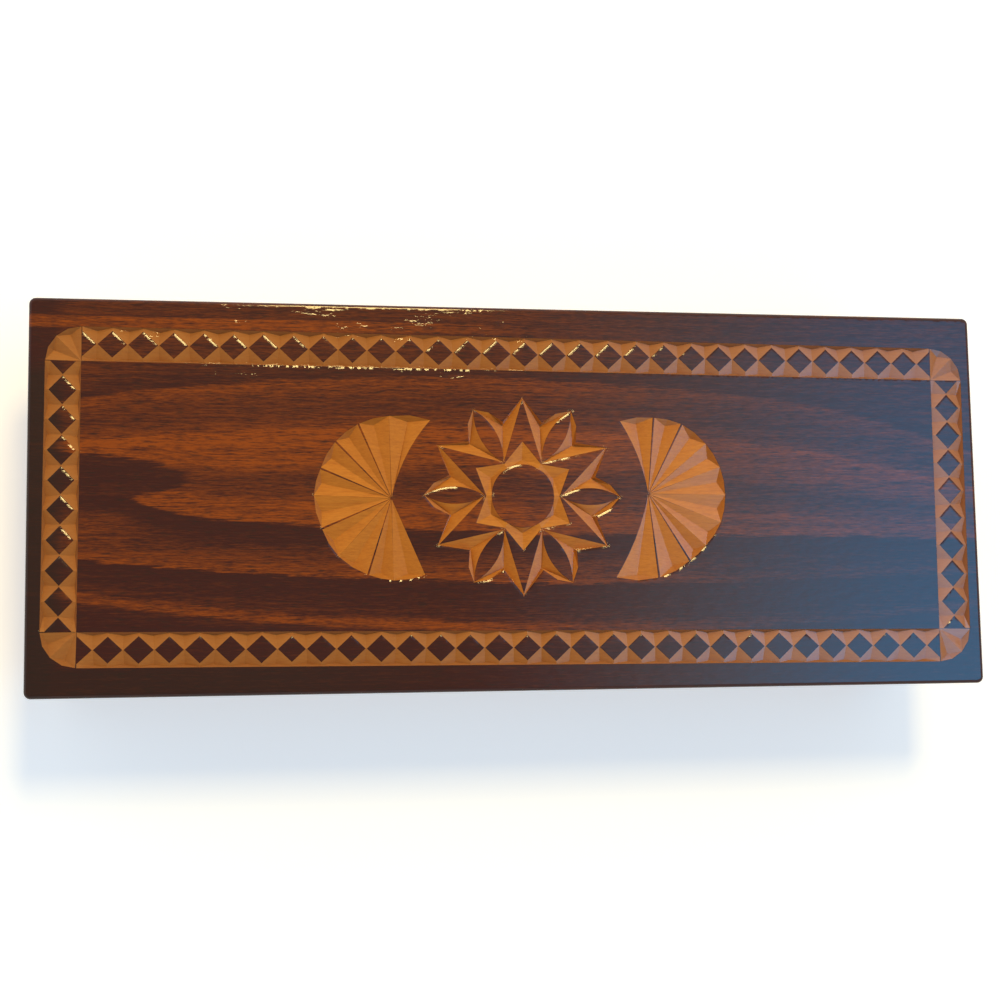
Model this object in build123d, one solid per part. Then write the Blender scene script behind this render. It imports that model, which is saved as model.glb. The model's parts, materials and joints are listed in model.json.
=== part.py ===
from build123d import *

import math
import os

# Pen box with a chip-carved lid, in millimetres. The box stands on its bottom at Z = 0, its
# front faces -Y, and the lid turns on two small butt hinges along the back.

# Lid board
LID_LENGTH = 233.0
LID_WIDTH = 93.0
LID_THICKNESS = 9.0
LID_CORNER = 1.6
LID_TOP_ROUND = 0.9
LID_UNDER_CHAMFER = 0.4

# Case under the lid: the lid stands over its walls by the same overhang all round
OVERHANG = 3.0
CASE_LENGTH = LID_LENGTH - 2 * OVERHANG
CASE_WIDTH = LID_WIDTH - 2 * OVERHANG
CASE_HEIGHT = 36.0
CASE_CORNER = 1.2
WALL = 7.0
FINGERS = 5
FINGER_HEIGHT = CASE_HEIGHT / FINGERS
BOTTOM_THICKNESS = 4.0
REBATE = 3.5

# Headless brads that hold the bottom, driven up through it into the shoulder of the rebate
# and set just below its face
BRAD_RADIUS = 0.65
BRAD_LENGTH = 14.0
BRAD_SET = 0.2
BRADS_ALONG = (-85.0, 0.0, 85.0)
BRADS_ACROSS = (0.0,)
BRAD_SIDES = 8

# Butt hinges, let into the top edge of the back wall and into the underside of the lid
HINGE_SPREAD = 72.0
HINGE_LENGTH = 25.0
HINGE_AXIS_BEHIND = 1.0
KNUCKLES = 3
KNUCKLE_RADIUS = 1.4
KNUCKLE_GAP = 0.1
PIN_RADIUS = 0.65
PIN_PLAY = 0.03
LEAF_THICKNESS = 0.9
LEAF_REACH = 6.2
LEAF_SINK = 0.05
TAB_OVERLAP = 0.45
FIT_GAP = 0.15
AXIS_Y = CASE_WIDTH / 2 + HINGE_AXIS_BEHIND
AXIS_Z = CASE_HEIGHT

# Countersunk screws in the leaves
SCREW_HEAD_RADIUS = 1.5
SCREW_RADIUS = 0.8
SCREW_LENGTH = 6.0
SCREW_SLOT_WIDTH = 0.45
SCREW_SLOT_DEPTH = 0.35
SCREW_SPREAD = 7.5
SCREW_BACK = 3.9
SCREW_SIDES = 16
SCREW_TURNS = (25.0, 70.0)

# Layout of the carving: a frame of diamonds, counted in pitches along the inner line of its
# band, set a shade askew on the board as the carver left it
PITCH = 7.0
FRAME_LONG = 30
FRAME_SHORT = 9
BAND_WIDTH = 1.17 * PITCH
CARVING_TURN = -0.38
CARVING_SHIFT = (0.3, -0.6)
CHIP_SLOPE = 0.936
CHIP_CROSSING = 0.035 * PITCH
BAND_DEPTH = 1.5
WALL_RUN = 0.7

# How far single chips stray from even spacing, from the middle of their side, and in depth
SPACING_SLIP = 0.14
MIDDLE_SLIP = 0.3
DEPTH_SLIP = 0.1

# Rosette: twelve petals, turn about a curved lens and a straight dart, round an uncut disc
ROSETTE_CENTRE = (-0.105 * PITCH, 0.127 * PITCH)
PETAL_PAIRS = 6
PETAL_TIP = 3.5 * PITCH
NOTCH_RADIUS = 2.66 * PITCH
NODE_RADIUS = 1.29 * PITCH
DISC_RADIUS = 1.09 * PITCH
STAR_TIP = 1.92 * PITCH
LENS_BULGE = 0.33 * PITCH
NOTCH_BULGE = 0.12 * PITCH
PETAL_DEPTH = 1.8
STAR_DEPTH = 1.2
STAR_FLOOR_RADIUS = 1.27 * PITCH

# Degrees by which neighbouring chips cross at the rosette's tips and nodes, and by which the
# points of its star stay apart at the disc
TIP_CROSSING = 0.8
NODE_CROSSING = 1.5
DISC_GAP = 0.3

# Half-round fans on each side of it: centre, then the ridges as (degrees, length, sharpness),
# where a sharp ridge is cut just under the face and a blunt one keeps a line of it, and how far
# the first and the last edge bow into the fan
SHARP, BLUNT = 0.12, -0.13
LEFT_FAN_CENTRE = (-32.6, 0.0)
LEFT_FAN_RIDGES = (
    (63.4, 21.3, SHARP),
    (91.8, 19.9, SHARP),
    (114.0, 19.5, BLUNT),
    (134.7, 19.0, BLUNT),
    (157.5, 18.3, BLUNT),
    (178.0, 18.5, SHARP),
    (204.0, 18.1, BLUNT),
    (228.0, 18.8, SHARP),
    (253.0, 19.1, BLUNT),
    (271.4, 19.6, SHARP),
    (294.0, 20.0, SHARP),
)
LEFT_FAN_BOWS = (1.4, 0.0)
RIGHT_FAN_CENTRE = (30.5, 1.7)
RIGHT_FAN_RIDGES = (
    (-112.6, 22.2, SHARP),
    (-83.4, 20.7, BLUNT),
    (-58.0, 19.3, BLUNT),
    (-41.3, 19.1, SHARP),
    (-20.5, 19.6, SHARP),
    (0.0, 19.6, SHARP),
    (20.5, 19.6, SHARP),
    (40.3, 19.5, SHARP),
    (63.2, 19.5, BLUNT),
    (85.0, 19.0, BLUNT),
    (111.4, 19.2, SHARP),
)
RIGHT_FAN_BOWS = (1.0, 1.0)
FAN_DEPTH = 1.6
FAN_WALL_RUN = 1.5
CORNER_WALL_RUN = 1.3
CENTRE_OVERLAP = 0.3

# How far a cutter stands above the face it cuts
CUTTER_RISE = 0.5

ON_BASE = (Align.CENTER, Align.CENTER, Align.MIN)


def polar(radius, degrees, centre=(0.0, 0.0)):
    """A point by its distance and direction from a centre."""
    angle = math.radians(degrees)
    return (centre[0] + radius * math.cos(angle), centre[1] + radius * math.sin(angle))


def hand_slip(number, reach):
    """A small unevenness, the same each time, for cuts that were spaced by eye."""
    return reach * math.sin(2.4 * number + 0.7 * number * number)


def bowed_middle(start, end, bow):
    """The middle of an arc that stands out from the chord by bow, to the right of its way."""
    run_x, run_y = end[0] - start[0], end[1] - start[1]
    length = math.hypot(run_x, run_y)
    middle_x, middle_y = (start[0] + end[0]) / 2, (start[1] + end[1]) / 2
    return (middle_x + bow * run_y / length, middle_y - bow * run_x / length)


def chip(corners, deepest, depth, bows=None):
    """What one chip takes out of a face at Z = 0: facets that fall from the outline to a point.

    bows gives, by the number of the corner it starts at, each side that is an arc. The solid is
    grown about its deepest point, so that its base stands clear of the face and its facets
    still pass through the outline.
    """
    bows = bows or {}
    growth = 1 + CUTTER_RISE / depth

    def lifted(point):
        return Vector(
            deepest[0] + growth * (point[0] - deepest[0]),
            deepest[1] + growth * (point[1] - deepest[1]),
            CUTTER_RISE,
        )

    sides = []
    for number, start in enumerate(corners):
        end = corners[(number + 1) % len(corners)]
        if bows.get(number):
            middle = bowed_middle(start, end, bows[number])
            sides.append(Edge.make_three_point_arc(lifted(start), lifted(middle), lifted(end)))
        else:
            sides.append(Edge.make_line(lifted(start), lifted(end)))
    return loft([Face(Wire(sides)), Vertex(deepest[0], deepest[1], -depth)], ruled=True)


def band_side(count):
    """The chips of one side of the frame, along X and centred on its band.

    At each place where two diamonds touch, one chip widens outwards and one inwards, and what
    stays between neighbouring chips is a diamond of the uncut face. The last chips stop square
    at the corner block, which leaves half a diamond there.
    """
    half_length = count * PITCH / 2
    half_width = BAND_WIDTH / 2
    half_base = (half_width + CHIP_CROSSING) / CHIP_SLOPE
    chips = []
    for number in range(count):
        middle = (number - (count - 1) / 2) * PITCH + hand_slip(number, SPACING_SLIP)
        for side in (-1, 1):
            left, right = middle - half_base, middle + half_base
            corners = [(middle, -side * CHIP_CROSSING)]
            for foot in (right, left):
                stop = math.copysign(half_length, foot)
                if abs(foot) > half_length:
                    meets = CHIP_SLOPE * abs(stop - middle) - CHIP_CROSSING
                    cut = [(stop, side * meets), (stop, side * half_width)]
                    corners += cut if foot == right else cut[::-1]
                else:
                    corners.append((foot, side * half_width))
            lowest_x = middle + hand_slip(number + side, MIDDLE_SLIP)
            depth = BAND_DEPTH + hand_slip(number, DEPTH_SLIP)
            chips.append(chip(corners, (lowest_x, side * (half_width - WALL_RUN)), depth))
    return chips


def fan(centre, ridges, bows, depth, wall_run):
    """The lobes between neighbouring ridges, each falling from its ridges to a valley.

    A valley is deepest just inside the rim, where two cuts meet in the steep outer wall. Lobes
    that overlap leave a sharp ridge between them, just under the face.
    """
    lobes = []
    last = len(ridges) - 2
    for number in range(last + 1):
        start_degrees, start_radius, start_sharpness = ridges[number]
        end_degrees, end_radius, end_sharpness = ridges[number + 1]
        middle_degrees = (start_degrees + end_degrees) / 2
        mean_radius = (start_radius + end_radius) / 2
        first_edge = start_degrees
        last_edge = end_degrees
        if number > 0:
            first_edge -= math.degrees(start_sharpness / start_radius)
        if number < last:
            last_edge += math.degrees(end_sharpness / end_radius)
        corners = [
            polar(-CENTRE_OVERLAP, middle_degrees, centre),
            polar(start_radius, first_edge, centre),
            polar(mean_radius, middle_degrees, centre),
            polar(end_radius, last_edge, centre),
        ]
        side_bows = {}
        if number == 0:
            side_bows[0] = -bows[0]
        if number == last:
            side_bows[3] = -bows[1]
        deepest = polar(mean_radius - wall_run, middle_degrees, centre)
        lobes.append(chip(corners, deepest, depth, side_bows))
    return lobes


def corner_fan(sign_x, sign_y):
    """Two lobes that turn the band round a corner of the frame."""
    centre = (sign_x * FRAME_LONG * PITCH / 2, sign_y * FRAME_SHORT * PITCH / 2)
    first = {(1, 1): 0.0, (-1, 1): 90.0, (-1, -1): 180.0, (1, -1): 270.0}[(sign_x, sign_y)]
    ridges = [(first + turn, BAND_WIDTH, SHARP) for turn in (0.0, 45.0, 90.0)]
    return fan(centre, ridges, (0.0, 0.0), BAND_DEPTH, CORNER_WALL_RUN)


def petal_chip(axis, side):
    """The chip between a lens petal and the dart petal on one side of it.

    It starts at the node where the lens starts, runs out to both tips, and is deepest by the
    notch between them. The edge of the lens is an arc, and the rim beside it is cut in two
    strokes that bow out. Chips cross a little beyond each tip.
    """
    half_step = 90.0 / PETAL_PAIRS
    node = polar(NODE_RADIUS, axis - side * NODE_CROSSING)
    lens_tip = polar(PETAL_TIP, axis - side * TIP_CROSSING)
    notch = polar(NOTCH_RADIUS, axis + side * half_step)
    rim = bowed_middle(lens_tip, notch, side * NOTCH_BULGE)
    dart_tip = polar(PETAL_TIP, axis + side * (2 * half_step + TIP_CROSSING))
    deepest = polar(NOTCH_RADIUS - WALL_RUN, axis + side * half_step)
    if side > 0:
        return chip([node, lens_tip, rim, notch, dart_tip], deepest, PETAL_DEPTH, {0: -LENS_BULGE})
    return chip([node, dart_tip, notch, rim, lens_tip], deepest, PETAL_DEPTH, {4: -LENS_BULGE})


def star_chip(axis):
    """One point of the inner star: two facets from its edges, and one that rises to the disc.

    Neighbouring points cross a little at the node between them, and only touch at the disc.
    """
    half_turn = 180.0 / PETAL_PAIRS
    before, after = axis - half_turn, axis + half_turn
    corners = [
        polar(NODE_RADIUS, before - NODE_CROSSING),
        polar(STAR_TIP, axis),
        polar(NODE_RADIUS, after + NODE_CROSSING),
        polar(DISC_RADIUS, after - DISC_GAP),
        polar(DISC_RADIUS, before + DISC_GAP),
    ]
    rim_bow = DISC_RADIUS * (1 - math.cos(math.radians(half_turn - DISC_GAP)))
    return chip(corners, polar(STAR_FLOOR_RADIUS, axis), STAR_DEPTH, {3: -rim_bow})


def rosette():
    """The round ornament at the middle of the lid."""
    chips = []
    for number in range(PETAL_PAIRS):
        lens_axis = number * 360.0 / PETAL_PAIRS
        chips += [petal_chip(lens_axis, 1), petal_chip(lens_axis, -1)]
        chips.append(star_chip(lens_axis + 180.0 / PETAL_PAIRS))
    return [Pos(*ROSETTE_CENTRE, 0) * cut for cut in chips]


def carve(board):
    """The board with its top face carved: single chips that share ridges, then the band's rows."""
    place = Pos(*CARVING_SHIFT, CASE_HEIGHT + LID_THICKNESS) * Rot(0, 0, CARVING_TURN)
    chips = fan(LEFT_FAN_CENTRE, LEFT_FAN_RIDGES, LEFT_FAN_BOWS, FAN_DEPTH, FAN_WALL_RUN)
    chips += fan(RIGHT_FAN_CENTRE, RIGHT_FAN_RIDGES, RIGHT_FAN_BOWS, FAN_DEPTH, FAN_WALL_RUN)
    chips += rosette()
    for sign_x in (-1, 1):
        for sign_y in (-1, 1):
            chips += corner_fan(sign_x, sign_y)
    for cut in chips:
        board = board - place * cut
    half_band = BAND_WIDTH / 2
    for turn, count, reach in (
        (0, FRAME_LONG, FRAME_SHORT * PITCH / 2 + half_band),
        (180, FRAME_LONG, FRAME_SHORT * PITCH / 2 + half_band),
        (90, FRAME_SHORT, FRAME_LONG * PITCH / 2 + half_band),
        (-90, FRAME_SHORT, FRAME_LONG * PITCH / 2 + half_band),
    ):
        turned = place * Rot(0, 0, turn) * Pos(0, reach, 0)
        board = board - [turned * cut for cut in band_side(count)]
    return board


def lid_board():
    """The lid before it is carved: one board with softened edges."""
    outline = RectangleRounded(LID_LENGTH, LID_WIDTH, LID_CORNER)
    board = Pos(0, 0, CASE_HEIGHT) * extrude(outline, LID_THICKNESS)
    levels = board.edges().group_by(Axis.Z)
    board = fillet(levels[-1], LID_TOP_ROUND)
    return chamfer(board.edges().group_by(Axis.Z)[0], LID_UNDER_CHAMFER)


def case_block():
    """The outer form of the case, with its corners eased."""
    return extrude(RectangleRounded(CASE_LENGTH, CASE_WIDTH, CASE_CORNER), CASE_HEIGHT)


def corner_fingers(levels):
    """The finger-sized blocks at the four corners of the case, at the given levels."""
    block = Box(WALL, WALL, FINGER_HEIGHT, align=ON_BASE)
    reach_x, reach_y = (CASE_LENGTH - WALL) / 2, (CASE_WIDTH - WALL) / 2
    return [
        Pos(sign_x * reach_x, sign_y * reach_y, level * FINGER_HEIGHT) * block
        for level in levels
        for sign_x in (-1, 1)
        for sign_y in (-1, 1)
    ]


def bottom_board():
    """The bottom before its brads: it fills the rebate and lies flush under the walls."""
    length = CASE_LENGTH - 2 * WALL + 2 * REBATE
    width = CASE_WIDTH - 2 * WALL + 2 * REBATE
    return Box(length, width, BOTTOM_THICKNESS, align=ON_BASE)


def long_wall(side):
    """The front (-1) or back (1) wall, with the uneven fingers at both ends."""
    blank = Box(CASE_LENGTH, WALL, CASE_HEIGHT, align=ON_BASE)
    wall = case_block() & (Pos(0, side * (CASE_WIDTH - WALL) / 2, 0) * blank)
    return wall - corner_fingers(range(1, FINGERS, 2)) - bottom_board()


def end_wall(side):
    """The left (-1) or right (1) wall, with the fingers that fill the gaps between those."""
    blank = Box(WALL, CASE_WIDTH, CASE_HEIGHT, align=ON_BASE)
    wall = case_block() & (Pos(side * (CASE_LENGTH - WALL) / 2, 0, 0) * blank)
    return wall - corner_fingers(range(0, FINGERS, 2)) - bottom_board()


def brads(foot):
    """All brads of the bottom, along the middle of the rebate's shoulder, from a foot height."""
    reach_x = CASE_LENGTH / 2 - WALL + REBATE / 2
    reach_y = CASE_WIDTH / 2 - WALL + REBATE / 2
    places = [(x, side * reach_y) for x in BRADS_ALONG for side in (-1, 1)]
    places += [(side * reach_x, y) for y in BRADS_ACROSS for side in (-1, 1)]
    brad = extrude(RegularPolygon(BRAD_RADIUS, BRAD_SIDES), BRAD_LENGTH - foot)
    return [Pos(x, y, foot) * brad for x, y in places]


def screw_blank():
    """A screw before its slot is cut: the face of its head at Z = 0, its shank down."""
    head = loft(
        [RegularPolygon(SCREW_HEAD_RADIUS, SCREW_SIDES).face(), Vertex(0, 0, -SCREW_HEAD_RADIUS)],
        ruled=True,
    )
    return head + extrude(RegularPolygon(SCREW_RADIUS, SCREW_SIDES), -SCREW_LENGTH)


def screw_places(hinge_x, upward):
    """Where a leaf's screws go: into the lid when upward is true, else into the wall."""
    face = AXIS_Z + (LEAF_SINK if upward else -LEAF_SINK)
    flip = Rot(180, 0, 0) if upward else Rot(0, 0, 0)
    return [
        Pos(hinge_x + side * SCREW_SPREAD, AXIS_Y - SCREW_BACK, face) * flip for side in (-1, 1)
    ]


def screws(hinge_x, upward):
    """The slotted screws of one leaf, each stopped where it came tight."""
    slot = Box(3 * SCREW_HEAD_RADIUS, SCREW_SLOT_WIDTH, 2 * SCREW_SLOT_DEPTH)
    return [
        place * (screw_blank() - Rot(0, 0, turn) * slot)
        for place, turn in zip(screw_places(hinge_x, upward), SCREW_TURNS)
    ]


def screw_holes(hinge_x, upward):
    """The holes of those screws."""
    return [place * screw_blank() for place in screw_places(hinge_x, upward)]


def along_axis(radius, length, middle_x):
    """A rod on the hinge line."""
    return Pos(middle_x, AXIS_Y, AXIS_Z) * Rot(0, 90, 0) * Cylinder(radius, length)


def hinge_leaf(hinge_x, upward):
    """One leaf with its share of the knuckles: the wall leaf has the outer ones."""
    knuckle_length = HINGE_LENGTH / KNUCKLES
    low = LEAF_SINK if upward else -LEAF_SINK - LEAF_THICKNESS
    plate_back = -KNUCKLE_RADIUS - FIT_GAP
    plate = Pos(hinge_x, AXIS_Y + (plate_back - LEAF_REACH) / 2, AXIS_Z + low) * Box(
        HINGE_LENGTH, LEAF_REACH + plate_back, LEAF_THICKNESS, align=ON_BASE
    )
    leaf = plate
    for number in range(1 if upward else 0, KNUCKLES, 2):
        middle = hinge_x + (number - (KNUCKLES - 1) / 2) * knuckle_length
        length = knuckle_length - 2 * KNUCKLE_GAP
        tab_depth = KNUCKLE_RADIUS + FIT_GAP + TAB_OVERLAP
        tab = Pos(middle, AXIS_Y - tab_depth / 2, AXIS_Z + low) * Box(
            length, tab_depth, LEAF_THICKNESS, align=ON_BASE
        )
        leaf = leaf + tab + along_axis(KNUCKLE_RADIUS, length, middle)
    leaf = leaf - along_axis(PIN_RADIUS + PIN_PLAY, 2 * HINGE_LENGTH, hinge_x)
    return leaf - screw_holes(hinge_x, upward)


def hinge_recess(hinge_x, upward):
    """What is cut out of the wood for a leaf and for the knuckles, open to the back."""
    length = HINGE_LENGTH + 2 * FIT_GAP
    depth = LEAF_SINK + LEAF_THICKNESS
    reach = LEAF_REACH + FIT_GAP
    bed = Pos(hinge_x, AXIS_Y - reach / 2, AXIS_Z + (0 if upward else -depth)) * Box(
        length, reach, depth, align=ON_BASE
    )
    cuts = [bed, along_axis(KNUCKLE_RADIUS + FIT_GAP, length, hinge_x)]
    if upward:
        run = OVERHANG + CUTTER_RISE
        notch = Pos(hinge_x, AXIS_Y + run / 2, AXIS_Z) * Box(
            length, run, KNUCKLE_RADIUS + FIT_GAP, align=ON_BASE
        )
        cuts.append(notch)
    return cuts


# Every piece by its name
hinges = {"left": -HINGE_SPREAD, "right": HINGE_SPREAD}
lid = carve(lid_board())
front_wall, back_wall = long_wall(-1), long_wall(1)
left_end_wall, right_end_wall = end_wall(-1), end_wall(1)
for hinge_x in hinges.values():
    lid = lid - hinge_recess(hinge_x, True) - screw_holes(hinge_x, True)
    back_wall = back_wall - hinge_recess(hinge_x, False) - screw_holes(hinge_x, False)

nail_holes = brads(0.0)
pieces = {
    "lid_panel": lid,
    "front_wall": front_wall - nail_holes,
    "back_wall": back_wall - nail_holes,
    "left_end_wall": left_end_wall - nail_holes,
    "right_end_wall": right_end_wall - nail_holes,
    "bottom_panel": bottom_board() - nail_holes,
    "bottom_brads": Compound(brads(BRAD_SET)),
}
for side, hinge_x in hinges.items():
    pieces[f"{side}_hinge_wall_leaf"] = hinge_leaf(hinge_x, False)
    pieces[f"{side}_hinge_lid_leaf"] = hinge_leaf(hinge_x, True)
    pieces[f"{side}_hinge_pin"] = along_axis(PIN_RADIUS, HINGE_LENGTH, hinge_x)
    pieces[f"{side}_hinge_wall_screws"] = Compound(screws(hinge_x, False))
    pieces[f"{side}_hinge_lid_screws"] = Compound(screws(hinge_x, True))

os.makedirs("parts", exist_ok=True)
for name, shape in pieces.items():
    export_step(shape, f"parts/{name}.step")
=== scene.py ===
import json
import math

import bmesh
import bpy
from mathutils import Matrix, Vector


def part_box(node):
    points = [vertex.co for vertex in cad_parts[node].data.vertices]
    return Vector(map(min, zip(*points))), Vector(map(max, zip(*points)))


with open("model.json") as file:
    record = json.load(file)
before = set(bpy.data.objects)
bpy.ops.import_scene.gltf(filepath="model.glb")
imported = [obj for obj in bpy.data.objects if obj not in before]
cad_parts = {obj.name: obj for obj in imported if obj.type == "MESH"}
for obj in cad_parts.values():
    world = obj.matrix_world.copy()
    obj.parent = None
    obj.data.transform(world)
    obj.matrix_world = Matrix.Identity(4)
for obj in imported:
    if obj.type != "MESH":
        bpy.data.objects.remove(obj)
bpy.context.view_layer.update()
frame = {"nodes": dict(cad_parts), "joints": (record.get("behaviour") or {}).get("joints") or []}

# Camera
# The box is seen from almost straight above, from a little to the left of its middle and in
# front of it. Lens and place give the lid the outline that it has in the photograph.
SENSOR_MM = 36.0
LENS_MM = 58.96
CAMERA_PLACE = (-0.07324, -0.04143, 0.43160)
CAMERA_TURN_DEGREES = (6.0733, -9.7608, -0.8840)
CAMERA_SEES = (0.01, 20.0)

camera_data = bpy.data.cameras.new("camera")
camera_data.sensor_width = SENSOR_MM
camera_data.lens = LENS_MM
camera_data.clip_start, camera_data.clip_end = CAMERA_SEES
camera = bpy.data.objects.new("camera", camera_data)
camera.location = CAMERA_PLACE
camera.rotation_euler = [math.radians(turn) for turn in CAMERA_TURN_DEGREES]
bpy.context.scene.collection.objects.link(camera)
bpy.context.scene.camera = camera
bpy.context.scene.view_settings.view_transform = "Standard"


# Studio: room, floor and lamps
# A plain white floor in a pale room that is brighter behind the box than in front of it. Its
# ceiling is dim, so that the lacquer shows the stain there, and a cool window in it lies as a
# veil over the right half of the lid.
WHITE = (1.0, 1.0, 1.0, 1.0)
ROOM_BRIGHT = (0.64, 0.65, 0.66, 1.0)
ROOM_SHADED = (0.34, 0.35, 0.37, 1.0)
BRIGHT_TOWARDS = (-0.20, 0.95, 0.20)
BRIGHT_COSINES = (-0.6, 0.9)
CEILING_DIM = (0.03, 0.03, 0.035, 1.0)
CEILING_SINES = (0.74, 0.90)

# The window's colours, and its edges as slopes away from straight up
WINDOW_NEAR = (2.1, 3.7, 4.7, 1.0)
WINDOW_FAR = (0.25, 3.5, 6.9, 1.0)
WINDOW_TURN = (0.24, 0.46)
WINDOW_LEFT_EDGE = (0.13, 0.50)
WINDOW_RIGHT_EDGE = (0.62, 0.49)
WINDOW_BACK_EDGE = (0.55, -0.12)
WINDOW_FRONT_EDGE = (-0.45, -0.15)
LEAST_SINE_UP = 0.05


def add(tree, kind, inputs=None, **settings):
    """A node of that kind with its settings, and with each input linked or given its value."""
    made = tree.nodes.new("ShaderNode" + kind)
    for name, value in settings.items():
        setattr(made, name, value)
    for name, value in (inputs or {}).items():
        if isinstance(value, bpy.types.NodeSocket):
            tree.links.new(value, made.inputs[name])
        else:
            made.inputs[name].default_value = value
    return made


def calc(tree, operation, *values):
    """The result of one sum on numbers or sockets."""
    return add(tree, "Math", dict(enumerate(values)), operation=operation).outputs[0]


def times(tree, first, *others):
    """All the values multiplied."""
    for other in others:
        first = calc(tree, "MULTIPLY", first, other)
    return first


def plus(tree, first, *others):
    """All the values added."""
    for other in others:
        first = calc(tree, "ADD", first, other)
    return first


def minus(tree, first, second):
    """The first value less the second."""
    return calc(tree, "SUBTRACT", first, second)


def larger(tree, first, second):
    """The larger of two values."""
    return calc(tree, "MAXIMUM", first, second)


def lowered(tree, value, share):
    """The value brought down by that share of itself."""
    return times(tree, value, minus(tree, 1.0, share))


def fade(tree, value, start, end):
    """0 before start and 1 after end, with a smooth change between them."""
    inputs = {"Value": value, "From Min": start, "From Max": end}
    return add(tree, "MapRange", inputs, interpolation_type="SMOOTHSTEP").outputs[0]


def blend_colours(tree, share, first, second):
    """The first colour at share 0 and the second at share 1."""
    return add(tree, "Mix", {0: share, 6: first, 7: second}, data_type="RGBA").outputs[2]


world = bpy.data.worlds.new("room")
world.use_nodes = True
bpy.context.scene.world = world
room = world.node_tree
towards = add(room, "TexCoord").outputs["Generated"]
directions = add(room, "SeparateXYZ", {0: towards}).outputs
sine_up = directions["Z"]
bright_side = {0: towards, 1: Vector(BRIGHT_TOWARDS).normalized()}
bright_side = add(room, "VectorMath", bright_side, operation="DOT_PRODUCT").outputs["Value"]
surround = blend_colours(room, fade(room, bright_side, *BRIGHT_COSINES), ROOM_SHADED, ROOM_BRIGHT)
surround = blend_colours(room, fade(room, sine_up, *CEILING_SINES), surround, CEILING_DIM)
overhead = larger(room, sine_up, LEAST_SINE_UP)
rightwards = calc(room, "DIVIDE", directions["X"], overhead)
backwards = calc(room, "DIVIDE", directions["Y"], overhead)
window = times(
    room,
    fade(room, rightwards, *WINDOW_LEFT_EDGE),
    fade(room, backwards, *WINDOW_BACK_EDGE),
    fade(room, rightwards, *WINDOW_RIGHT_EDGE),
    fade(room, backwards, *WINDOW_FRONT_EDGE),
)
daylight = blend_colours(room, fade(room, rightwards, *WINDOW_TURN), WINDOW_NEAR, WINDOW_FAR)
surround = blend_colours(room, window, surround, daylight)
surround = blend_colours(room, add(room, "LightPath").outputs["Is Camera Ray"], surround, WHITE)
room.links.new(surround, room.nodes["Background"].inputs["Color"])

# The floor shows as white to the camera and in reflections, more so away from the box, and
# keeps the box's shadow
FLOOR_REACH = 3.0
FLOOR_WHITE = (0.93, 0.93, 0.92, 1.0)
FLOOR_ROUGHNESS = 0.9
FLOOR_GLOSS = 0.1
FLOOR_LIFT = 0.45
FLOOR_FAR_LIFT = 0.6
FLOOR_FAR = (0.35, 1.1)

floor_mesh = bpy.data.meshes.new("floor")
floor = bpy.data.objects.new("floor", floor_mesh)
bpy.context.scene.collection.objects.link(floor)
shape = bmesh.new()
bmesh.ops.create_grid(shape, x_segments=1, y_segments=1, size=FLOOR_REACH)
shape.to_mesh(floor_mesh)
shape.free()
floor_paint = bpy.data.materials.new("floor_paint")
floor_paint.use_nodes = True
paint = floor_paint.node_tree
surface = paint.nodes["Principled BSDF"]
surface.inputs["Base Color"].default_value = FLOOR_WHITE
surface.inputs["Roughness"].default_value = FLOOR_ROUGHNESS
surface.inputs["Specular IOR Level"].default_value = FLOOR_GLOSS
surface.inputs["Emission Color"].default_value = WHITE
rays = add(paint, "LightPath").outputs
seen = larger(paint, rays["Is Camera Ray"], rays["Is Glossy Ray"])
spot = add(paint, "TexCoord").outputs["Object"]
from_box = add(paint, "VectorMath", {0: spot}, operation="LENGTH").outputs["Value"]
lift = plus(paint, times(paint, fade(paint, from_box, *FLOOR_FAR), FLOOR_FAR_LIFT), FLOOR_LIFT)
paint.links.new(times(paint, seen, lift), surface.inputs["Emission Strength"])
floor_mesh.materials.append(floor_paint)

# Each lamp: where it stands, how wide and high it is, its power, and its tint
LAMPS = {
    "warm_key": ((0.065, 0.512, 1.020), (0.20, 0.26), 6.6, (1.0, 0.745, 0.29)),
    "front_fill": ((0.5, -1.7, 1.5), (2.4, 1.6), 4.0, (0.97, 0.98, 1.0)),
}
LAMPS_AIM = Vector((0.0, 0.0, 0.03))
for name, (place, size, power, tint) in LAMPS.items():
    lamp_data = bpy.data.lights.new(name, "AREA")
    lamp_data.shape = "RECTANGLE"
    lamp_data.size, lamp_data.size_y = size
    lamp_data.energy = power
    lamp_data.color = tint
    lamp = bpy.data.objects.new(name, lamp_data)
    lamp.location = place
    lamp.rotation_euler = (LAMPS_AIM - Vector(place)).to_track_quat("-Z", "Y").to_euler()
    bpy.context.scene.collection.objects.link(lamp)


# Carved lid
# One board of flat-sawn softwood. It was stained dark, then carved through the stain with
# V-shaped chips, and the whole of it got several coats of glossy lacquer.
MM = 1000.0
lid_low, lid_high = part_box("lid_panel")
LID_TOP_MM = lid_high.z * MM
LID_THICKNESS_MM = (lid_high.z - lid_low.z) * MM
HALF_LENGTH_MM = lid_high.x * MM
HALF_WIDTH_MM = lid_high.y * MM


def board_point(tree, order="XYZ"):
    """A place in a board in millimetres, as along the grain, across it and through it."""
    place = add(tree, "TexCoord").outputs["Object"]
    axes = add(tree, "SeparateXYZ", {0: place}).outputs
    return [times(tree, axes[name], MM) for name in order]


def noise(tree, point, per_mm, detail=2.0, roughness=0.5):
    """Smooth unevenness round 0, with its own number of cells per millimetre along each axis."""
    stretched = [times(tree, part, rate) for part, rate in zip(point, per_mm)]
    stretched = add(tree, "CombineXYZ", dict(enumerate(stretched))).outputs[0]
    inputs = {"Vector": stretched, "Scale": 1.0, "Detail": detail, "Roughness": roughness}
    level = add(tree, "TexNoise", inputs).outputs[0]
    return minus(tree, level, 0.5)


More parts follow.
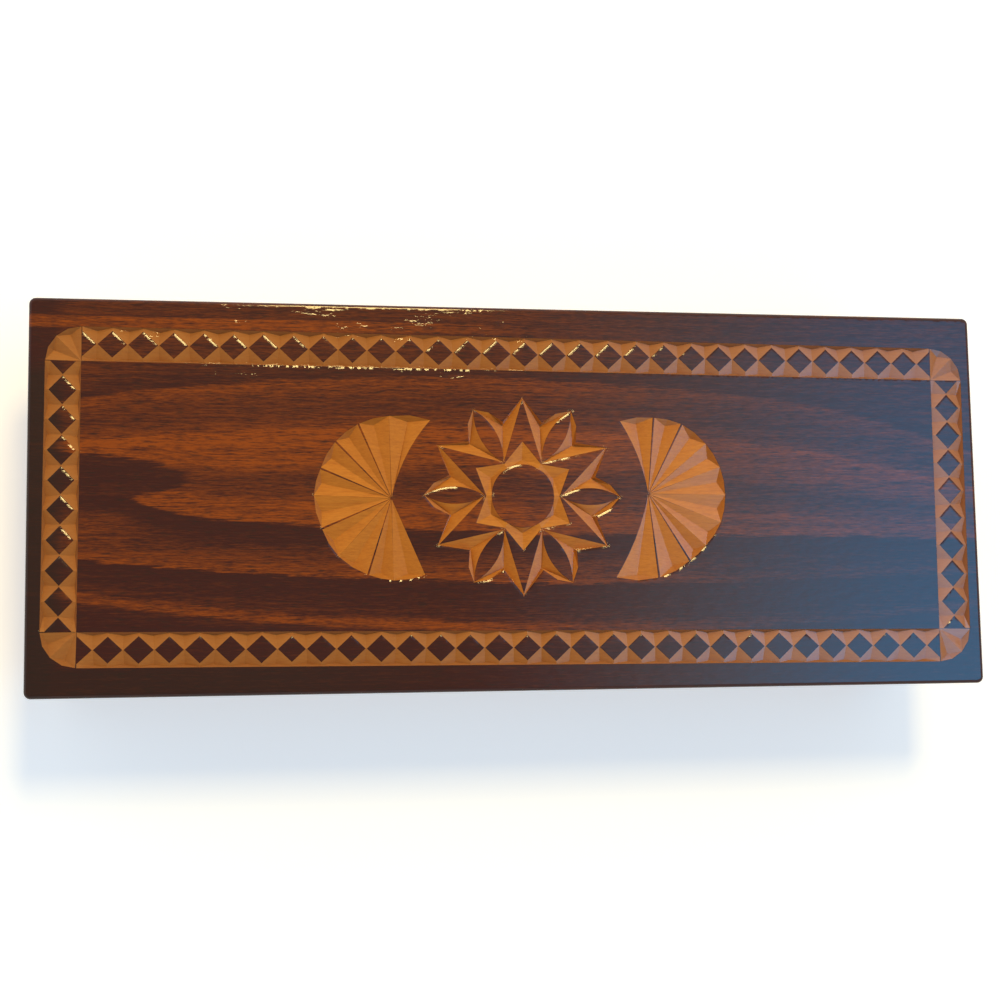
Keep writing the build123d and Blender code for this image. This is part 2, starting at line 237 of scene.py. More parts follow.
def ramp(tree, value, stops):
    """A value that follows the stops, given as (where, level), in straight steps."""
    low, high = stops[0][0], stops[-1][0]
    share = add(tree, "MapRange", {"Value": value, "From Min": low, "From Max": high}).outputs[0]
    made = add(tree, "ValToRGB", {0: share})
    marks = made.color_ramp.elements
    while len(marks) < len(stops):
        marks.new(0.5)
    for mark, (where, level) in zip(marks, stops):
        mark.position = (where - low) / (high - low)
        mark.color = (level, level, level, 1.0)
    return made.outputs[0]


# Long, short and fine fibres: cells per millimetre, roughness and strength
FIBRES = (
    ((0.022, 0.7, 0.6), 0.60, 1.0),
    ((0.16, 1.7, 1.2), 0.65, 1.6),
    ((0.42, 3.4, 2.4), 0.70, 1.6),
)


def fibres(tree, point):
    """The streaks along the grain, round 0."""
    streaks = [
        times(tree, noise(tree, point, per_mm, roughness=roughness), strength)
        for per_mm, roughness, strength in FIBRES
    ]
    return plus(tree, *streaks)


# How light the stain came out across the lid, from the front edge to the back one, where its
# growth rings are furthest apart
LID_RINGS = (
    (-64.0, 0.04), (-36.5, 0.02), (-33.4, 0.12), (-32.6, 0.66), (-31.2, 0.56), (-30.0, 0.16), (-26.0, 0.05),
    (-21.0, 0.01), (-20.5, 0.68), (-19.0, 0.50), (-15.5, 0.26), (-12.0, 0.03), (-8.6, 0.01), (-7.9, 0.92),
    (-6.5, 0.70), (-3.0, 0.74), (-1.5, 0.38), (4.0, 0.22), (6.5, 0.50), (9.0, 0.72), (13.0, 0.76),
    (15.9, 1.05), (16.8, 0.50), (20.5, 0.27), (24.0, 0.28), (28.4, 0.58), (29.4, 0.08), (36.0, 0.22),
    (64.0, 0.22),
)

# The rings lie askew and bowed on the lid, lean through it, and draw together towards its ends
RINGS_SKEW = 0.0188
RINGS_BOW = 0.00012
RINGS_NARROWING = 0.000022
RINGS_LEAN = 0.25
SWAY_PER_MM = (0.012, 0.05, 0.05)
SWAY_MM = 3.0
FEATHER_PER_MM = (0.09, 1.5, 0.8)
FEATHER_MM = 4.0

# The light ring across the middle runs out in a tip at the left, under a dark tongue
TIP_MM = -91.3
TIP_RUN_MM = 12.0
TIP_LIFT_MM = 5.6
TIP_MOST_MM = 8.0
TIP_FOOT_MM = (-13.0, -5.0)
TIP_HEAD_MM = (9.0, 3.0)
TONGUE_TIP_MM = (-79.5, 4.0)
TONGUE_BLUNTNESS = 0.62
TONGUE_EDGE_MM = (-2.0, 2.5)
TONGUE_DARKER = 0.93
RAGGED_PER_MM = (0.06, 0.9, 0.5)
RAGGED_MM = 6.0

# Towards the right end the rings behind the middle bend forwards
BEND_FROM_MM = 45.0
BEND_CURVE = 0.0014
BEND_FOOT_MM = (-6.0, 3.0)
BEND_HEAD_MM = (30.0, 12.0)


def lid_ring_place(tree, point):
    """Where a point of the lid lies across the rings."""
    along, across, through = point
    along_squared = times(tree, along, along)
    middle = plus(tree, times(tree, along, RINGS_SKEW), times(tree, along_squared, RINGS_BOW))
    spread = minus(tree, 1.0, times(tree, along_squared, RINGS_NARROWING))
    place = calc(tree, "DIVIDE", plus(tree, across, middle), spread)
    place = plus(tree, place, times(tree, through, RINGS_LEAN))
    curl = calc(tree, "EXPONENT", times(tree, minus(tree, along, TIP_MM), -1.0 / TIP_RUN_MM))
    curl = calc(tree, "MINIMUM", times(tree, curl, TIP_LIFT_MM), TIP_MOST_MM)
    curl = times(tree, curl, fade(tree, across, *TIP_FOOT_MM), fade(tree, across, *TIP_HEAD_MM))
    bend = larger(tree, minus(tree, along, BEND_FROM_MM), 0.0)
    bend = times(tree, bend, bend, BEND_CURVE)
    bend = times(tree, bend, fade(tree, across, *BEND_FOOT_MM), fade(tree, across, *BEND_HEAD_MM))
    sway = noise(tree, point, SWAY_PER_MM)
    feather = noise(tree, point, FEATHER_PER_MM, detail=4.0, roughness=0.7)
    place = plus(tree, minus(tree, place, curl), bend)
    return plus(tree, place, times(tree, sway, SWAY_MM), times(tree, feather, FEATHER_MM))


# Stain: light and dark by the rings, with the fibres drawn through both. A light streak runs
# along the back margin, and the light rings fade towards the right end.
STAIN_LIGHT = (0.330, 0.070, 0.0090, 1.0)
STAIN_DARK = (0.060, 0.0168, 0.0134, 1.0)
STAIN_BLACK = (0.029, 0.0205, 0.0155, 1.0)
FIBRES_BY_RING = 1.3
FIBRES_LEAST = 0.22
STAIN_LEVEL = -0.03
STREAK_MM = 40.9
STREAK_EDGE_MM = (1.8, 1.0)
STREAK_RUN_MM = (30.0, -45.0)
STREAK_LIGHT = 0.72
RIGHT_DARKER_MM = (-15.0, 60.0)
RIGHT_DARKER = 0.54
RIGHT_BLACKER = 0.26
FADING_ALONG_MM = (15.0, 70.0)
FADING_ACROSS_MM = (-10.0, -16.0)
FADING = 0.6
PORES_PER_MM = (0.30, 3.4, 2.0)
PORES_LEVELS = (0.04, 0.20)
PORES_BLACKER = 0.6

# Where the stain lies thickest: over the left end and along the front margin
DARK_END_MM = (-106.0, -112.0)
DARK_END_SIDE_MM = (33.0, 27.0)
FRONT_RIM_MM = (-38.0, -41.0)
FRONT_RIM_RUN_MM = (10.0, -70.0)
FRONT_RIM_SHARE = 0.8
THICK_STAIN = 0.60


def ring_and_fibre_light(tree, levels, streak, least):
    """How light the stain is: by the rings, with fibres that show most in the light ones."""
    contrast = plus(tree, times(tree, levels, FIBRES_BY_RING), least)
    return plus(tree, levels, times(tree, streak, contrast))


lacquered_lid = bpy.data.materials.new("lacquered_carved_wood")
lacquered_lid.use_nodes = True
wood = lacquered_lid.node_tree
surface = wood.nodes["Principled BSDF"]
point = board_point(wood)
along, across, height = point
from_middle = calc(wood, "ABSOLUTE", along)
from_axis = calc(wood, "ABSOLUTE", across)
depth = minus(wood, LID_TOP_MM, height)
streak = fibres(wood, point)

rings = ramp(wood, lid_ring_place(wood, (along, across, depth)), LID_RINGS)
ragged = times(wood, noise(wood, point, RAGGED_PER_MM, detail=4.0, roughness=0.65), RAGGED_MM)
off_axis = plus(wood, minus(wood, across, TONGUE_TIP_MM[1]), ragged)
behind_tip = minus(wood, TONGUE_TIP_MM[0], along)
behind_tip = minus(wood, behind_tip, times(wood, off_axis, off_axis, TONGUE_BLUNTNESS))
dark_end = fade(wood, along, *DARK_END_MM)
tongue = larger(wood, fade(wood, behind_tip, *TONGUE_EDGE_MM), dark_end)
rings = lowered(wood, rings, times(wood, tongue, TONGUE_DARKER))
off_streak = calc(wood, "ABSOLUTE", minus(wood, across, STREAK_MM))
margin_streak = times(wood, fade(wood, off_streak, *STREAK_EDGE_MM), fade(wood, along, *STREAK_RUN_MM))
rings = larger(wood, rings, times(wood, margin_streak, STREAK_LIGHT))
darker = times(wood, fade(wood, along, *RIGHT_DARKER_MM), RIGHT_DARKER)
rings = lowered(wood, rings, darker)
fading = times(wood, fade(wood, along, *FADING_ALONG_MM), fade(wood, across, *FADING_ACROSS_MM))
rings = lowered(wood, rings, times(wood, fading, FADING))
lightness = plus(wood, ring_and_fibre_light(wood, rings, streak, FIBRES_LEAST), STAIN_LEVEL)
stain = blend_colours(wood, lightness, STAIN_DARK, STAIN_LIGHT)
pores = fade(wood, noise(wood, point, PORES_PER_MM), *PORES_LEVELS)
stain = blend_colours(wood, times(wood, pores, PORES_BLACKER), stain, STAIN_BLACK)
left_end = times(wood, dark_end, fade(wood, across, *DARK_END_SIDE_MM))
front_rim = times(wood, fade(wood, across, *FRONT_RIM_MM), fade(wood, along, *FRONT_RIM_RUN_MM))
blackened = times(wood, larger(wood, left_end, times(wood, front_rim, FRONT_RIM_SHARE)), THICK_STAIN)
blackened = larger(wood, blackened, times(wood, darker, RIGHT_BLACKER))
stain = blend_colours(wood, blackened, stain, STAIN_BLACK)

# Cut wood: golden under the lacquer, and deeper in colour where the knife crossed the fibres.
# Steep walls are browner, partly as end grain and partly as painted shade. The small chips of the
# border are browner, and towards the right end they turn pinker with a painted cool sheen.
GOLD_PALE = (0.71, 0.258, 0.034, 1.0)
GOLD_DEEP = (0.47, 0.140, 0.022, 1.0)
GOLD_STREAKS = (-1.5, 1.1)
CROSS_CUT_TURN = (0.12, 0.5)
CROSS_CUT_DEEPER = 0.30
END_GRAIN_AND_SHADE_BROWN = (0.22, 0.060, 0.012, 1.0)
STEEP_CUT = (0.16, 0.42)
STEEP_CUT_BROWNER_AND_SHADED = 0.3
BORDER_GOLD = (0.336, 0.142, 0.052, 1.0)
BORDER_GOLD_UNDER_WINDOW_SHEEN = (0.315, 0.165, 0.115, 1.0)
BORDER_SHEEN_TURN_MM = (-20.0, 100.0)
BORDER_ALONG_MM = (98.0, 102.0)
BORDER_ACROSS_MM = (28.0, 31.0)
BORDER_BROWNER = 0.5

normal = add(wood, "SeparateXYZ", {0: add(wood, "TexCoord").outputs["Normal"]}).outputs
gold = blend_colours(wood, fade(wood, streak, *GOLD_STREAKS), GOLD_DEEP, GOLD_PALE)
cross_cut = fade(wood, calc(wood, "ABSOLUTE", normal["X"]), *CROSS_CUT_TURN)
gold = blend_colours(wood, times(wood, cross_cut, CROSS_CUT_DEEPER), gold, GOLD_DEEP)
# Painted shade: steep walls are blended towards a darker brown, partly for end grain and partly for the
# shade they lie in
steep = fade(wood, minus(wood, 1.0, normal["Z"]), *STEEP_CUT)
gold = blend_colours(wood, times(wood, steep, STEEP_CUT_BROWNER_AND_SHADED), gold, END_GRAIN_AND_SHADE_BROWN)
in_border = larger(wood, fade(wood, from_middle, *BORDER_ALONG_MM), fade(wood, from_axis, *BORDER_ACROSS_MM))
# Painted reflection: towards the right end the border's gold turns pinker, standing in for the cool window's
# sheen on the lacquer
border_gold_and_sheen = blend_colours(wood, fade(wood, along, *BORDER_SHEEN_TURN_MM), BORDER_GOLD, BORDER_GOLD_UNDER_WINDOW_SHEEN)
gold = blend_colours(wood, times(wood, in_border, BORDER_BROWNER), gold, border_gold_and_sheen)

# The stain ends with the face it was put on, and covers the board's edges. Round the disc of
# the rosette the knife left a narrow ring of cut wood level with the face.
STAIN_DEPTH_MM = (0.06, 0.04)
STAINED_RIM_MM = 2.2
UNDERSIDE_DEPTH_MM = 1.2
ROSETTE_MM = (-0.43, 0.29, 0.0)
DISC_MM = 7.68
NODES_MM = 8.85

flat_place = add(wood, "CombineXYZ", {0: along, 1: across}).outputs[0]
from_rosette = add(wood, "VectorMath", {0: flat_place, 1: ROSETTE_MM}, operation="DISTANCE").outputs["Value"]
beyond_disc = calc(wood, "GREATER_THAN", from_rosette, DISC_MM)
round_disc = times(wood, beyond_disc, calc(wood, "LESS_THAN", from_rosette, NODES_MM))
on_face = lowered(wood, fade(wood, depth, *STAIN_DEPTH_MM), round_disc)
past_end = calc(wood, "GREATER_THAN", from_middle, HALF_LENGTH_MM - STAINED_RIM_MM)
past_side = calc(wood, "GREATER_THAN", from_axis, HALF_WIDTH_MM - STAINED_RIM_MM)
at_rim = larger(wood, past_end, past_side)
underneath = calc(wood, "GREATER_THAN", depth, LID_THICKNESS_MM - UNDERSIDE_DEPTH_MM)
stained = larger(wood, larger(wood, on_face, underneath), at_rim)
colour = blend_colours(wood, stained, gold, stain)

# The underside is bare inside the line of the walls, where no stain was brushed on
BARE_PALE = (0.52, 0.36, 0.195, 1.0)
BARE_DEEP = (0.40, 0.24, 0.105, 1.0)
BARE_RINGS = 0.8
BARE_LEVELS = (-1.2, 0.5)
UNDERSIDE_RIM_MM = 5.0
BRUSH_LINE_WANDER_MM = 1.2
BRUSH_LINE_MM = (0.4, -0.4)

bare = minus(wood, streak, times(wood, rings, BARE_RINGS))
bare = blend_colours(wood, fade(wood, bare, *BARE_LEVELS), BARE_DEEP, BARE_PALE)
beyond_end = minus(wood, from_middle, HALF_LENGTH_MM - UNDERSIDE_RIM_MM)
beyond_side = minus(wood, from_axis, HALF_WIDTH_MM - UNDERSIDE_RIM_MM)
beyond = plus(wood, larger(wood, beyond_end, beyond_side), times(wood, streak, BRUSH_LINE_WANDER_MM))
inside = fade(wood, beyond, *BRUSH_LINE_MM)
colour = blend_colours(wood, times(wood, inside, underneath), colour, bare)
wood.links.new(colour, surface.inputs["Base Color"])

# Lacquer: thick and glossy. It waves a little, and stands in beads along the back margin and
# the ridge behind the field, over the left half of the lid.
LID_ROUGHNESS = 0.5
LID_GLOSS = 0.08
LACQUER_ROUGHNESS = 0.05
LACQUER_IOR = 1.4
WAVES_PER_MM = (0.25, 0.6, 0.6)
WAVES_MM = 0.025
BEADS_PER_MM = (0.45, 1.3, 1.3)
BEADS_MM = 0.090
BEADS_ELSEWHERE = 0.1
CLUSTERS_PER_MM = (0.10, 0.35, 0.35)
CLUSTERS_LEVELS = (0.0, 0.16)
RIDGE_MM = 30.2
RIDGE_EDGE_MM = (2.4, 1.2)
RIDGE_BEADS = 1.2
BEADS_ACROSS_MM = (32.0, 43.0)
BEADS_ALONG_MM = (12.0, -8.0)

surface.inputs["Roughness"].default_value = LID_ROUGHNESS
surface.inputs["Specular IOR Level"].default_value = LID_GLOSS
surface.inputs["Coat Weight"].default_value = 1.0
surface.inputs["Coat Roughness"].default_value = LACQUER_ROUGHNESS
surface.inputs["Coat IOR"].default_value = LACQUER_IOR
waves = noise(wood, point, WAVES_PER_MM)
ridge = fade(wood, calc(wood, "ABSOLUTE", minus(wood, across, RIDGE_MM)), *RIDGE_EDGE_MM)
beaded = larger(wood, times(wood, ridge, RIDGE_BEADS), fade(wood, across, *BEADS_ACROSS_MM))
clusters = fade(wood, noise(wood, point, CLUSTERS_PER_MM), *CLUSTERS_LEVELS)
beaded = times(wood, beaded, fade(wood, along, *BEADS_ALONG_MM), clusters)
beaded = plus(wood, times(wood, beaded, 1.0 - BEADS_ELSEWHERE), BEADS_ELSEWHERE)
beads = times(wood, noise(wood, point, BEADS_PER_MM), beaded, BEADS_MM)
relief = plus(wood, times(wood, waves, WAVES_MM), beads)

# Along arrises that face the back it gathers in a narrow slope, steeper towards the front, with
# gaps in the long arrises and in those near the front. In the cuts it pools, so that its surface
# lies flatter than the facets.
WOOD_EASE = 0.00010
LACQUER_EASE = 0.00080
FACING_BACK = (0.45, 0.65)
FLAT_FACE = 0.99
ARRIS_TILT = (0.008, 0.030)
GAPS_PER_MM = (1.3, 0.30, 0.30)
GAPS_LEVELS = (0.09, -0.01)
BACK_EDGE_MM = (43.5, 44.5)
FRONT_GAPS_MM = (-14.0, -20.0)
NO_SLOPE_MM = (-36.0, -34.0)
LACQUER_SLOPE = 0.115
SLOPE_PER_MM = 0.0026
SLOPE_WAVES = 1.2
POOLED_FACET = 0.6
LACQUER_POOLS = 0.90
GRAIN_STRENGTH = 0.5
GRAIN_HEIGHT = 0.00005
ONE_MM = 0.001


def turned(tree, direction, start, end):
    """A direction turned from the object's own axes to the world's, or back."""
    made = add(
        tree, "VectorTransform", {0: direction}, vector_type="NORMAL", convert_from=start, convert_to=end
    )
    return made.outputs[0]


def blend_directions(tree, share, first, second):
    """The first direction at share 0 and the second at share 1."""
    return add(tree, "Mix", {0: share, 4: first, 5: second}, data_type="VECTOR").outputs[1]


wood_edge = add(wood, "Bevel", {"Radius": WOOD_EASE}, samples=4).outputs[0]
lacquer_edge = add(wood, "Bevel", {"Radius": LACQUER_EASE}, samples=16).outputs[0]
outwards = turned(wood, lacquer_edge, "WORLD", "OBJECT")
outwards = add(wood, "VectorMath", {0: outwards, 1: (1.0, 1.0, 0.0)}, operation="MULTIPLY").outputs[0]
edge_tilt = add(wood, "VectorMath", {0: outwards}, operation="LENGTH").outputs["Value"]
outwards = add(wood, "VectorMath", {0: outwards}, operation="NORMALIZE").outputs[0]
facing_back = fade(wood, add(wood, "SeparateXYZ", {0: outwards}).outputs["Y"], *FACING_BACK)
on_flat = calc(wood, "GREATER_THAN", normal["Z"], FLAT_FACE)
gathered = times(wood, facing_back, on_flat, fade(wood, edge_tilt, *ARRIS_TILT))
long_edges = larger(wood, ridge, fade(wood, across, *BACK_EDGE_MM))
long_edges = larger(wood, long_edges, fade(wood, across, *FRONT_GAPS_MM))
gaps = fade(wood, noise(wood, point, GAPS_PER_MM, detail=3.0), *GAPS_LEVELS)
gathered = lowered(wood, gathered, times(wood, gaps, long_edges))
gathered = times(wood, gathered, fade(wood, across, *NO_SLOPE_MM))
before_ridge = larger(wood, minus(wood, RIDGE_MM, across), 0.0)
slope = plus(wood, times(wood, before_ridge, SLOPE_PER_MM), LACQUER_SLOPE)
slope = times(wood, slope, plus(wood, times(wood, waves, SLOPE_WAVES), 1.0))
sloping = add(wood, "VectorMath", {0: outwards, "Scale": slope}, operation="SCALE").outputs[0]
sloping = add(wood, "VectorMath", {0: sloping, 1: (0.0, 0.0, 1.0)}, operation="ADD").outputs[0]
sloping = turned(wood, sloping, "OBJECT", "WORLD")
upwards = turned(wood, (0.0, 0.0, 1.0), "OBJECT", "WORLD")
pooled = minus(wood, calc(wood, "GREATER_THAN", normal["Z"], POOLED_FACET), at_rim)
pooled = times(wood, larger(wood, pooled, 0.0), LACQUER_POOLS)
lacquer_face = blend_directions(wood, pooled, wood_edge, upwards)
lacquer_face = blend_directions(wood, gathered, lacquer_face, sloping)
lacquer_face = add(wood, "VectorMath", {0: lacquer_face}, operation="NORMALIZE").outputs[0]
lacquer = {"Strength": 1.0, "Distance": ONE_MM, "Height": relief, "Normal": lacquer_face}
grain = {"Strength": GRAIN_STRENGTH, "Distance": GRAIN_HEIGHT, "Height": streak, "Normal": wood_edge}
wood.links.new(add(wood, "Bump", grain).outputs[0], surface.inputs["Normal"])
wood.links.new(add(wood, "Bump", lacquer).outputs[0], surface.inputs["Coat Normal"])

lid = frame["nodes"]["lid_panel"]
lid.data.materials[0] = lacquered_lid


# Walls of the case
# Four boards of the same softwood, glued at the corners with five interlocking fingers. Their
# outside and top edges are stained and lacquered like the lid, and their inside is bare.
_, front_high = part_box("front_wall")
end_low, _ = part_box("right_end_wall")
INSIDE_LENGTH_MM = end_low.x * MM
INSIDE_WIDTH_MM = -front_high.y * MM
WALL_MIDDLE_MM = front_high.z * MM / 2

# One growth ring, from its light early wood to its dark late wood, and how the rings stray
RING_STEPS = ((0.0, 0.08), (0.25, 0.14), (0.62, 0.36), (0.88, 0.66), (0.95, 0.46), (1.0, 0.08))
PITH_SLOPE = 0.06
RING_SWAY_PER_MM = (0.012, 0.06, 0.06)
RING_SWAY_MM = 7.0
RING_FEATHER_PER_MM = (0.07, 1.1, 0.6)
RING_FEATHER_MM = 2.2


def ring_levels(tree, point, pith_mm, spacing_mm):
    """Growth rings round a pith that lies under the board and slowly nears it."""
    along, across, through = point
    below = plus(tree, through, plus(tree, times(tree, along, PITH_SLOPE), pith_mm))
    radius_squared = plus(tree, times(tree, across, across), times(tree, below, below))
    radius = calc(tree, "POWER", radius_squared, 0.5)
    sway = noise(tree, point, RING_SWAY_PER_MM)
    feather = noise(tree, point, RING_FEATHER_PER_MM, detail=4.0, roughness=0.65)
    radius = plus(tree, radius, times(tree, sway, RING_SWAY_MM), times(tree, feather, RING_FEATHER_MM))
    return ramp(tree, calc(tree, "FRACT", calc(tree, "DIVIDE", radius, spacing_mm)), RING_STEPS)


# Their stain, bare wood and lacquer
WALL_RING_MM = 4.8
WALL_FIBRES_LEAST = 0.30
FIBRES_SHIFT = 7.3
END_GRAIN_STAIN = (0.032, 0.0145, 0.0095, 1.0)
END_GRAIN_TURN = (0.6, 0.9)
END_GRAIN_SHARE = 0.75
WALL_PORES_PER_MM = (0.16, 3.6, 2.0)
WALL_PORES_LEVELS = (0.04, 0.22)
WALL_BARE_RINGS = -0.5
WALL_BARE_LEVELS = (-0.9, 0.5)
WALL_BRUSH_LINE_MM = (0.3, 0.7)
WALL_BRUSH_WANDER_MM = 0.5
BARE_ROUGHNESS, STAINED_ROUGHNESS = 0.6, 0.5
BARE_LACQUER, STAINED_LACQUER = 0.1, 1.0
WALL_GLOSS = 0.2
WALL_LACQUER_ROUGHNESS = 0.08
WALL_EASE = 0.0003
WALL_GRAIN_MM = 0.012
WALL_WAVES_PER_MM = (0.2, 0.6, 0.6)
WALL_WAVES_MM = 0.03


def wall_wood(name, order, across_shift, pith_mm):
    """The wood of one wall, whose grain runs along the first axis of the order."""
    material = bpy.data.materials.new(name)
    material.use_nodes = True
    tree = material.node_tree
    surface = tree.nodes["Principled BSDF"]
    x, y, z = board_point(tree)
    named = dict(zip("XYZ", (x, y, z)))
    along, across, through = (named[axis] for axis in order)
    point = (along, plus(tree, across, across_shift), calc(tree, "ABSOLUTE", through))
    streak = fibres(tree, (along, plus(tree, across, FIBRES_SHIFT * across_shift), through))
    levels = ring_levels(tree, point, pith_mm, WALL_RING_MM)
    lightness = ring_and_fibre_light(tree, levels, streak, WALL_FIBRES_LEAST)
    stain = blend_colours(tree, lightness, STAIN_DARK, STAIN_LIGHT)
    pores = fade(tree, noise(tree, (along, across, through), WALL_PORES_PER_MM), *WALL_PORES_LEVELS)
    stain = blend_colours(tree, times(tree, pores, PORES_BLACKER), stain, STAIN_BLACK)
    normal = add(tree, "SeparateXYZ", {0: add(tree, "TexCoord").outputs["Normal"]}).outputs
    end_grain = fade(tree, calc(tree, "ABSOLUTE", normal[order[0]]), *END_GRAIN_TURN)
    stain = blend_colours(tree, times(tree, end_grain, END_GRAIN_SHARE), stain, END_GRAIN_STAIN)

    bare = plus(tree, times(tree, levels, WALL_BARE_RINGS), streak)
    bare = blend_colours(tree, fade(tree, bare, *WALL_BARE_LEVELS), BARE_DEEP, BARE_PALE)
    beyond_end = minus(tree, calc(tree, "ABSOLUTE", x), INSIDE_LENGTH_MM)
    beyond_side = minus(tree, calc(tree, "ABSOLUTE", y), INSIDE_WIDTH_MM)
    beyond = plus(tree, larger(tree, beyond_end, beyond_side), times(tree, streak, WALL_BRUSH_WANDER_MM))
    stained = fade(tree, beyond, *WALL_BRUSH_LINE_MM)
    tree.links.new(blend_colours(tree, stained, bare, stain), surface.inputs["Base Color"])
    rough = plus(tree, times(tree, stained, STAINED_ROUGHNESS - BARE_ROUGHNESS), BARE_ROUGHNESS)
    tree.links.new(rough, surface.inputs["Roughness"])
    lacquer = plus(tree, times(tree, stained, STAINED_LACQUER - BARE_LACQUER), BARE_LACQUER)
    tree.links.new(lacquer, surface.inputs["Coat Weight"])
    surface.inputs["Specular IOR Level"].default_value = WALL_GLOSS
    surface.inputs["Coat Roughness"].default_value = WALL_LACQUER_ROUGHNESS
    surface.inputs["Coat IOR"].default_value = LACQUER_IOR
    waves = noise(tree, (along, across, through), WALL_WAVES_PER_MM, detail=3.0, roughness=0.6)
    relief = plus(tree, times(tree, streak, WALL_GRAIN_MM), times(tree, waves, WALL_WAVES_MM))
    edge = add(tree, "Bevel", {"Radius": WALL_EASE}, samples=4).outputs[0]
    bump = add(tree, "Bump", {"Strength": 1.0, "Distance": ONE_MM, "Height": relief, "Normal": edge})
    tree.links.new(bump.outputs[0], surface.inputs["Normal"])
    tree.links.new(bump.outputs[0], surface.inputs["Coat Normal"])
    return material


# Each wall: the axes along, across and through its board, and where its rings lie
WALLS = {
    "front_wall": ("XZY", -WALL_MIDDLE_MM, -17.0),
    "back_wall": ("XZY", -WALL_MIDDLE_MM + 6.0, -24.0),
    "left_end_wall": ("YZX", -WALL_MIDDLE_MM - 4.0, -92.0),
    "right_end_wall": ("YZX", -WALL_MIDDLE_MM + 3.0, -88.0),
}
for wall, (order, across_shift, pith_mm) in WALLS.items():
    frame["nodes"][wall].data.materials[0] = wall_wood(wall + "_wood", order, across_shift, pith_mm)


# Bottom
# A thin bare board with its grain along the box, let into the rebate of the walls. It is
# darker with handling underneath than inside the box.
BOTTOM_SHIFT_MM = 12.0
BOTTOM_PITH_MM = 30.0
BOTTOM_RING_MM = 6.0
BOTTOM_RINGS = -0.6
BOTTOM_LEVELS = (-1.0, 0.4)
HANDLED_BROWN = (0.30, 0.165, 0.075, 1.0)
SOILED_PER_MM = (0.03, 0.05, 0.05)
SOILED_UNEVEN = 1.2
SOILED_MEAN = 0.45
BOTTOM_ROUGHNESS = 0.62
BOTTOM_GLOSS = 0.3
BOTTOM_GRAIN_MM = 0.03

_, bottom_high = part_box("bottom_panel")
bottom_wood = bpy.data.materials.new("bare_bottom_wood")
bottom_wood.use_nodes = True
tree = bottom_wood.node_tree
surface = tree.nodes["Principled BSDF"]
point = board_point(tree)
along, across, height = point
streak = fibres(tree, point)
shifted = (along, plus(tree, across, BOTTOM_SHIFT_MM), height)
levels = ring_levels(tree, shifted, BOTTOM_PITH_MM, BOTTOM_RING_MM)
tone = plus(tree, times(tree, levels, BOTTOM_RINGS), streak)
bare = blend_colours(tree, fade(tree, tone, *BOTTOM_LEVELS), BARE_DEEP, BARE_PALE)
handled = fade(tree, height, bottom_high.z * MM / 2, 0.0)
soiled = noise(tree, point, SOILED_PER_MM, detail=4.0)
soiled = plus(tree, times(tree, soiled, SOILED_UNEVEN), SOILED_MEAN)
bare = blend_colours(tree, times(tree, handled, soiled), bare, HANDLED_BROWN)
tree.links.new(bare, surface.inputs["Base Color"])
surface.inputs["Roughness"].default_value = BOTTOM_ROUGHNESS
surface.inputs["Specular IOR Level"].default_value = BOTTOM_GLOSS
relief = times(tree, streak, BOTTOM_GRAIN_MM)
bump = add(tree, "Bump", {"Strength": 1.0, "Distance": ONE_MM, "Height": relief})
tree.links.new(bump.outputs[0], surface.inputs["Normal"])
frame["nodes"]["bottom_panel"].data.materials[0] = bottom_wood


# Brads
# Eight headless wire brads, driven up through the bottom and set just below its face. The
# steel is grey where the punch rubbed it and brown with rust elsewhere.
STEEL_GREY = (0.45, 0.44, 0.42, 1.0)
RUST_BROWN = (0.13, 0.055, 0.025, 1.0)
RUST_PER_MM = (1.7, 1.7, 1.7)
RUST_LEVELS = (-0.12, 0.16)
STEEL_ROUGHNESS, RUST_ROUGHNESS = 0.35, 0.70
RUST_DULLS = 0.7

brad_steel = bpy.data.materials.new("brad_steel")
brad_steel.use_nodes = True
tree = brad_steel.node_tree
surface = tree.nodes["Principled BSDF"]
rust = fade(tree, noise(tree, board_point(tree), RUST_PER_MM, detail=3.0), *RUST_LEVELS)
tree.links.new(blend_colours(tree, rust, STEEL_GREY, RUST_BROWN), surface.inputs["Base Color"])
rough = plus(tree, times(tree, rust, RUST_ROUGHNESS - STEEL_ROUGHNESS), STEEL_ROUGHNESS)
tree.links.new(rough, surface.inputs["Roughness"])
tree.links.new(minus(tree, 1.0, times(tree, rust, RUST_DULLS)), surface.inputs["Metallic"])
frame["nodes"]["bottom_brads"].data.materials[0] = brad_steel


# Hinges and their screws
# Two small butt hinges of rolled brass, each a pair of leaves that turn on a pin, let into the
# back wall and the lid and held by slotted screws. The brass has dulled, most in its corners.
AXIS_MM = frame["joints"][0]["pos_m"][2] * MM
BRASS_BRIGHT = (0.80, 0.56, 0.22, 1.0)
BRASS_DULL = (0.42, 0.25, 0.085, 1.0)
BRASS_DIRT = (0.050, 0.028, 0.014, 1.0)
PATCHES_PER_MM = (0.35, 0.5, 0.5)
PATCHES_MM = 0.010
RUBS_MM = 0.006
RUBS_SHARE = 0.5
DULL_LEVELS = (-0.16, 0.24)
DIRT_EDGE_MM = 0.15
DIRT_SHARE = 0.85
BRIGHT_ROUGHNESS, DULL_ROUGHNESS = 0.24, 0.46
BRASS_EASE = 0.00010


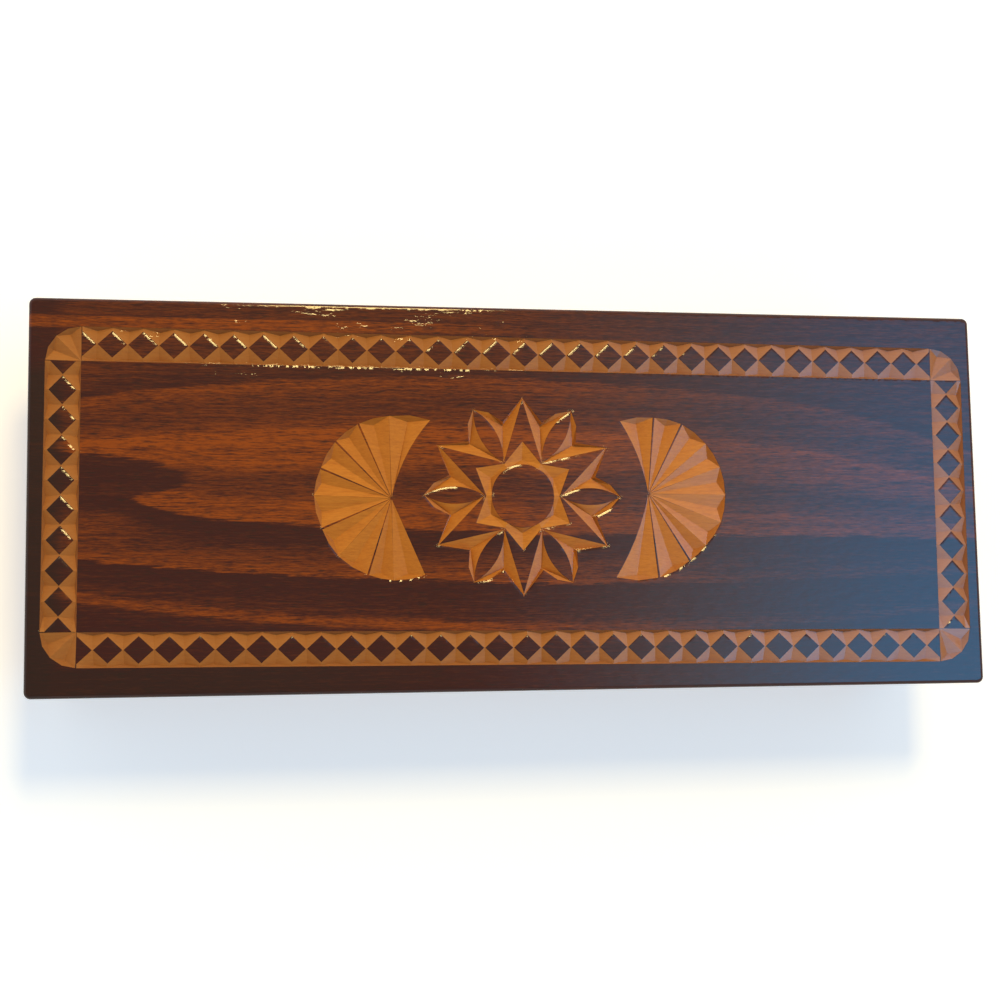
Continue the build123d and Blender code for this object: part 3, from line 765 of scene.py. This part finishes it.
def dulled_brass(name, rub_per_mm, dirt_from_mm):
    """Brass with rubbing marks along X, dull patches, and dirt past a distance from the axis."""
    material = bpy.data.materials.new(name)
    material.use_nodes = True
    tree = material.node_tree
    surface = tree.nodes["Principled BSDF"]
    point = board_point(tree)
    patches = noise(tree, point, PATCHES_PER_MM, detail=5.0, roughness=0.6)
    rubs = noise(tree, point, rub_per_mm)
    dull = fade(tree, plus(tree, patches, times(tree, rubs, RUBS_SHARE)), *DULL_LEVELS)
    colour = blend_colours(tree, dull, BRASS_BRIGHT, BRASS_DULL)
    away = calc(tree, "ABSOLUTE", minus(tree, point[2], AXIS_MM))
    dirt = times(tree, fade(tree, away, dirt_from_mm, dirt_from_mm + DIRT_EDGE_MM), DIRT_SHARE)
    tree.links.new(blend_colours(tree, dirt, colour, BRASS_DIRT), surface.inputs["Base Color"])
    rough = plus(tree, times(tree, dull, DULL_ROUGHNESS - BRIGHT_ROUGHNESS), BRIGHT_ROUGHNESS)
    tree.links.new(rough, surface.inputs["Roughness"])
    surface.inputs["Metallic"].default_value = 1.0
    relief = plus(tree, times(tree, rubs, RUBS_MM), times(tree, patches, PATCHES_MM))
    edge = add(tree, "Bevel", {"Radius": BRASS_EASE}, samples=4).outputs[0]
    bump = add(tree, "Bump", {"Strength": 1.0, "Distance": ONE_MM, "Height": relief, "Normal": edge})
    tree.links.new(bump.outputs[0], surface.inputs["Normal"])
    return material


leaf_brass = dulled_brass("leaf_brass", (0.25, 9.0, 9.0), 1.6)
pin_brass = dulled_brass("pin_brass", (6.0, 1.0, 1.0), 1.6)
screw_brass = dulled_brass("screw_brass", (5.0, 0.8, 0.8), 0.15)
for side in ("left", "right"):
    for part in ("wall_leaf", "lid_leaf"):
        frame["nodes"][f"{side}_hinge_{part}"].data.materials[0] = leaf_brass
    frame["nodes"][f"{side}_hinge_pin"].data.materials[0] = pin_brass
    for part in ("wall_screws", "lid_screws"):
        frame["nodes"][f"{side}_hinge_{part}"].data.materials[0] = screw_brass
